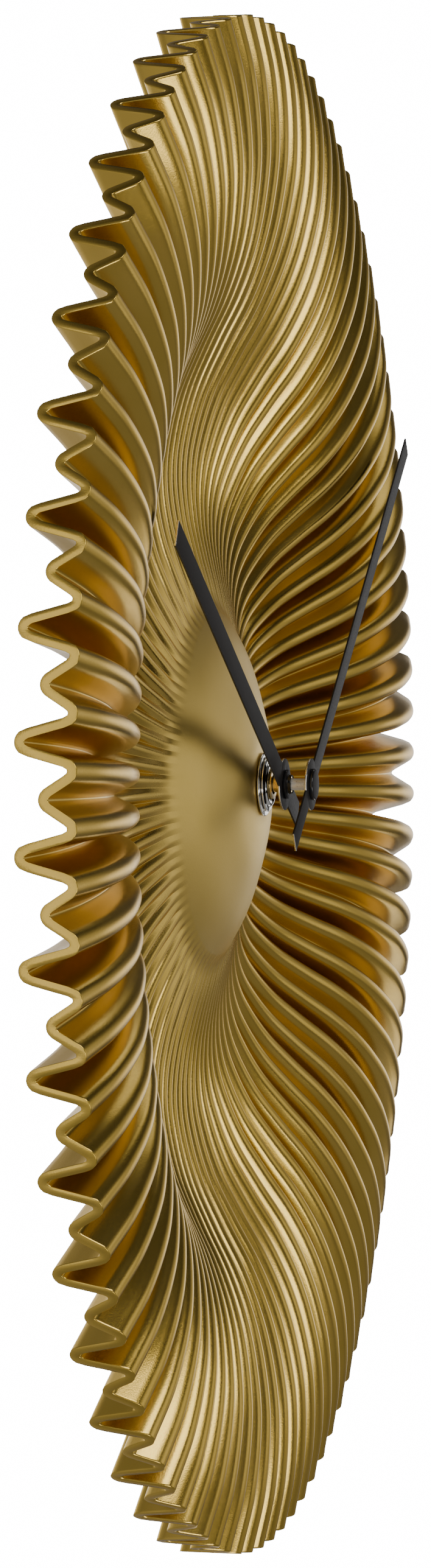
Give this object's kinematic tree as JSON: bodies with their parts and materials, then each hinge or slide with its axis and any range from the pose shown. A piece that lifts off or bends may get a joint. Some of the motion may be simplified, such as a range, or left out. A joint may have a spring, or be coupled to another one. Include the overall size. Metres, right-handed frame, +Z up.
{
  "type": "sunburst wall clock",
  "caption": "Round wall clock with a pleated metallic dial that rays out from a smooth dome, plain black bar hands, and a battery quartz movement hung on a slotted strap.",
  "frame": {"origin": "point where the hands' axis meets the wall, on the back face of the rear cover", "axes": "+Z up to 12 o'clock, +X to 3 o'clock, +Y into the wall; the dial faces -Y"},
  "size_m": [0.4, 0.0431, 0.4],
  "materials": {
    "gold_dial": "satin gold with fine grain",
    "hand_black": "satin black",
    "chrome": "polished",
    "brass": "turned",
    "steel": "bright rolled",
    "rubber": "matt",
    "case_plastic": "fine texture",
    "gear_plastic": "smooth moulded",
    "board": "solder resist",
    "copper": "enamelled wire",
    "magnet": "sintered",
    "battery": "printed sleeve, left plain",
    "epoxy": "cured drop"
  },
  "bodies": {
    "root": {"pleated_dial": "gold_dial", "fixing_nut": "chrome", "fixing_washer": "chrome", "rubber_gasket": "rubber", "threaded_bush": "brass", "hanger_strap": "steel", "movement_case": "case_plastic", "rear_cover": "case_plastic", "cover_screw_1": "steel", "cover_screw_2": "steel", "cover_screw_3": "steel", "cover_screw_4": "steel", "gear_plate": "gear_plastic", "motor_stator": "steel", "coil_core": "steel", "coil_bobbin": "case_plastic", "coil_winding": "copper", "circuit_board": "board", "chip_blob": "epoxy", "quartz_crystal": "steel", "battery_cell": "battery", "positive_contact": "steel", "negative_contact": "steel"},
    "minute": {"minute_wheel": "gear_plastic", "minute_hand": "hand_black", "minute_hand_cap": "hand_black"},
    "hour": {"hour_wheel": "gear_plastic", "hour_hand": "hand_black", "hour_hand_collar": "hand_black"},
    "motion": {"motion_wheel": "gear_plastic"},
    "setting": {"setting_knob": "gear_plastic"},
    "third": {"third_wheel": "gear_plastic"},
    "seconds": {"seconds_wheel": "gear_plastic"},
    "intermediate": {"intermediate_wheel": "gear_plastic"},
    "rotor": {"rotor_pinion": "gear_plastic", "rotor_magnet": "magnet"}
  },
  "joints": [
    {"name": "minute_spin", "type": "hinge", "parent": "root", "child": "minute", "pos_m": [0, 0, 0], "axis": [0, 1, 0], "continuous": true},
    {"name": "hour_spin", "type": "hinge", "parent": "root", "child": "hour", "pos_m": [0, 0, 0], "axis": [0, 1, 0], "continuous": true},
    {"name": "motion_spin", "type": "hinge", "parent": "root", "child": "motion", "pos_m": [0.0046, 0, -0.00386], "axis": [0, 1, 0], "continuous": true},
    {"name": "setting_spin", "type": "hinge", "parent": "root", "child": "setting", "pos_m": [0.01035, 0, -0.00386], "axis": [0, 1, 0], "continuous": true},
    {"name": "third_spin", "type": "hinge", "parent": "root", "child": "third", "pos_m": [0.00636, 0, 0.00636], "axis": [0, 1, 0], "continuous": true},
    {"name": "seconds_spin", "type": "hinge", "parent": "root", "child": "seconds", "pos_m": [0, 0, 0], "axis": [0, 1, 0], "continuous": true},
    {"name": "intermediate_spin", "type": "hinge", "parent": "root", "child": "intermediate", "pos_m": [-0.00636, 0, 0.00636], "axis": [0, 1, 0], "continuous": true},
    {"name": "rotor_spin", "type": "hinge", "parent": "root", "child": "rotor", "pos_m": [-0.01021, 0, 0.01303], "axis": [0, 1, 0], "continuous": true}
  ],
  "couplings": [
    {"joint": "hour_spin", "follows": "minute_spin", "ratio": 0.083333},
    {"joint": "motion_spin", "follows": "minute_spin", "ratio": -0.33333},
    {"joint": "setting_spin", "follows": "minute_spin", "ratio": 1.2},
    {"joint": "third_spin", "follows": "minute_spin", "ratio": -8},
    {"joint": "seconds_spin", "follows": "minute_spin", "ratio": 60},
    {"joint": "intermediate_spin", "follows": "minute_spin", "ratio": -300},
    {"joint": "rotor_spin", "follows": "minute_spin", "ratio": 1800}
  ]
}
